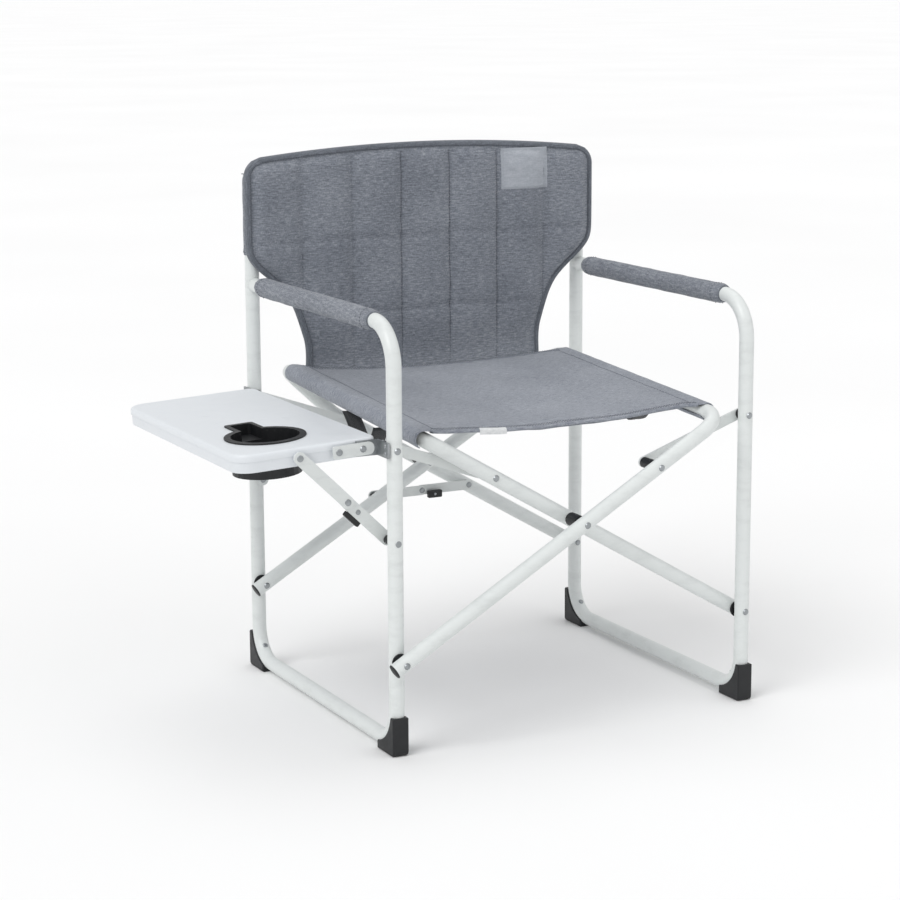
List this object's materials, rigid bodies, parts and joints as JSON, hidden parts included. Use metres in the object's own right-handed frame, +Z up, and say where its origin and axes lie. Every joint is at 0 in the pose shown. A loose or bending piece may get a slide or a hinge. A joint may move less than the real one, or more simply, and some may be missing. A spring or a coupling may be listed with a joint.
{
  "type": "folding camp chair",
  "caption": "Folding director's style camp chair with padded cloth back and seat, cloth arm pads, a scissor frame and a fold-down side table with a cup well.",
  "frame": {"origin": "on the floor, under the middle of the whole object with its table out", "axes": "+Z up, the chair faces -Y, the side table is on the -X side"},
  "size_m": [0.818, 0.5822, 0.822],
  "materials": {
    "frame_paint": "satin powder coat",
    "zinc": "zinc plated",
    "black_plastic": "fine satin",
    "table_plastic": "fine grained satin",
    "cloth": "heathered polyester weave",
    "webbing": "flat woven"
  },
  "bodies": {
    "left_side": {"left_side_frame": "frame_paint", "left_arm_pad": "cloth", "left_front_foot": "black_plastic", "left_rear_foot": "black_plastic", "table_front_bracket": "zinc", "table_rear_bracket": "zinc", "left_front_lower_rivet": "zinc", "left_rear_lower_rivet": "zinc", "left_front_upper_rivet": "zinc", "left_rear_upper_rivet": "zinc", "left_front_lower_spacer": "black_plastic", "left_rear_lower_spacer": "black_plastic", "left_front_link_spacer": "black_plastic", "backrest": "cloth"},
    "right_side": {"right_side_frame": "frame_paint", "right_arm_pad": "cloth", "right_front_foot": "black_plastic", "right_rear_foot": "black_plastic", "right_front_lower_rivet": "zinc", "right_rear_lower_rivet": "zinc", "right_front_upper_rivet": "zinc", "right_rear_upper_rivet": "zinc", "right_front_lower_spacer": "black_plastic", "right_rear_lower_spacer": "black_plastic", "right_rear_link_spacer": "black_plastic"},
    "right_seat_frame": {"right_seat_tube": "frame_paint", "front_cross_rivet": "zinc", "rear_cross_rivet": "zinc", "front_cross_spacer": "black_plastic", "rear_cross_spacer": "black_plastic", "right_front_leg_rivet": "zinc", "right_rear_leg_rivet": "zinc", "right_front_link_spacer": "black_plastic", "seat_cloth": "cloth", "right_carry_loop": "webbing"},
    "left_seat_frame": {"left_seat_tube": "frame_paint", "left_front_leg_rivet": "zinc", "left_rear_leg_rivet": "zinc", "left_rear_link_spacer": "black_plastic", "left_carry_loop": "webbing"},
    "left_front_link": {"left_front_link": "frame_paint"},
    "left_rear_link": {"left_rear_link": "frame_paint"},
    "right_front_link": {"right_front_link": "frame_paint"},
    "right_rear_link": {"right_rear_link": "frame_paint"},
    "left_stay": {"left_stay": "frame_paint", "stay_release_tab": "black_plastic"},
    "right_stay": {"right_stay": "frame_paint"},
    "table": {"table_top": "table_plastic", "cup_holder": "black_plastic", "table_front_side_bar": "frame_paint", "table_rear_side_bar": "frame_paint", "table_front_hinge_pin": "zinc", "table_rear_hinge_pin": "zinc"},
    "front_brace_lower": {"table_front_brace_lower": "frame_paint", "table_front_brace_tab": "black_plastic"},
    "rear_brace_lower": {"table_rear_brace_lower": "frame_paint", "table_rear_brace_tab": "black_plastic"},
    "front_brace_upper": {"table_front_brace_upper": "frame_paint"},
    "rear_brace_upper": {"table_rear_brace_upper": "frame_paint"}
  },
  "joints": [
    {"name": "fold", "type": "hinge", "parent": "left_side", "child": "right_seat_frame", "pos_m": [-0.18632, 0, 0.138], "axis": [0, -1, 0], "range_deg": [0, 50.5], "deforming": ["seat_cloth", "backrest"]},
    {"name": "cross_pivot", "type": "hinge", "parent": "right_seat_frame", "child": "left_seat_frame", "pos_m": [0.10168, 0, 0.3075], "axis": [0, -1, 0], "range_deg": [-101.4, 0.4]},
    {"name": "right_post_pivot", "type": "hinge", "parent": "left_seat_frame", "child": "right_side", "pos_m": [0.38967, 0, 0.138], "axis": [0, -1, 0], "range_deg": [-0.4, 50.9]},
    {"name": "left_front_link_pivot", "type": "hinge", "parent": "left_side", "child": "left_front_link", "pos_m": [-0.18632, -0.227, 0.438], "axis": [0, -1, 0], "range_deg": [-0.4, 99.89]},
    {"name": "right_front_link_pivot", "type": "hinge", "parent": "right_side", "child": "right_front_link", "pos_m": [0.38967, -0.227, 0.438], "axis": [0, -1, 0], "range_deg": [-99.89, 0.4]},
    {"name": "left_rear_link_pivot", "type": "hinge", "parent": "left_side", "child": "left_rear_link", "pos_m": [-0.18632, 0.227, 0.438], "axis": [0, -1, 0], "range_deg": [-0.4, 99.89]},
    {"name": "right_rear_link_pivot", "type": "hinge", "parent": "right_side", "child": "right_rear_link", "pos_m": [0.38967, 0.227, 0.438], "axis": [0, -1, 0], "range_deg": [-99.89, 0.4]},
    {"name": "left_stay_pivot", "type": "hinge", "parent": "right_seat_frame", "child": "left_stay", "pos_m": [0.01417, 0.252, 0.256], "axis": [0, -1, 0], "range_deg": [-130.39, 0.4]},
    {"name": "right_stay_pivot", "type": "hinge", "parent": "left_seat_frame", "child": "right_stay", "pos_m": [0.18918, 0.255, 0.256], "axis": [0, -1, 0], "range_deg": [-0.4, 130.39]},
    {"name": "table_fold", "type": "hinge", "parent": "left_side", "child": "table", "pos_m": [-0.22332, 0, 0.4395], "axis": [0, -1, 0], "range_deg": [0, 87]},
    {"name": "front_brace_foot", "type": "hinge", "parent": "left_side", "child": "front_brace_lower", "pos_m": [-0.18632, -0.227, 0.307], "axis": [0, -1, 0], "range_deg": [-0.4, 86.41]},
    {"name": "front_brace_head", "type": "hinge", "parent": "table", "child": "front_brace_upper", "pos_m": [-0.3177, -0.2305, 0.43472], "axis": [0, -1, 0], "range_deg": [-148.67, 0.4]},
    {"name": "rear_brace_foot", "type": "hinge", "parent": "left_side", "child": "rear_brace_lower", "pos_m": [-0.18632, 0.227, 0.307], "axis": [0, -1, 0], "range_deg": [-0.4, 86.41]},
    {"name": "rear_brace_head", "type": "hinge", "parent": "table", "child": "rear_brace_upper", "pos_m": [-0.3177, 0.2305, 0.43472], "axis": [0, -1, 0], "range_deg": [-148.67, 0.4]}
  ],
  "couplings": [
    {"joint": "cross_pivot", "follows": "fold", "ratio": -2},
    {"joint": "right_post_pivot", "follows": "fold", "ratio": 1},
    {"joint": "left_front_link_pivot", "follows": "fold", "ratio": 1.97},
    {"joint": "right_front_link_pivot", "follows": "fold", "ratio": -1.97},
    {"joint": "left_rear_link_pivot", "follows": "fold", "ratio": 1.97},
    {"joint": "right_rear_link_pivot", "follows": "fold", "ratio": -1.97},
    {"joint": "left_stay_pivot", "follows": "fold", "ratio": -2.574},
    {"joint": "right_stay_pivot", "follows": "fold", "ratio": 2.574},
    {"joint": "front_brace_foot", "follows": "table_fold", "ratio": 0.9886},
    {"joint": "front_brace_head", "follows": "table_fold", "ratio": -1.7043},
    {"joint": "rear_brace_foot", "follows": "table_fold", "ratio": 0.9886},
    {"joint": "rear_brace_head", "follows": "table_fold", "ratio": -1.7043}
  ]
}
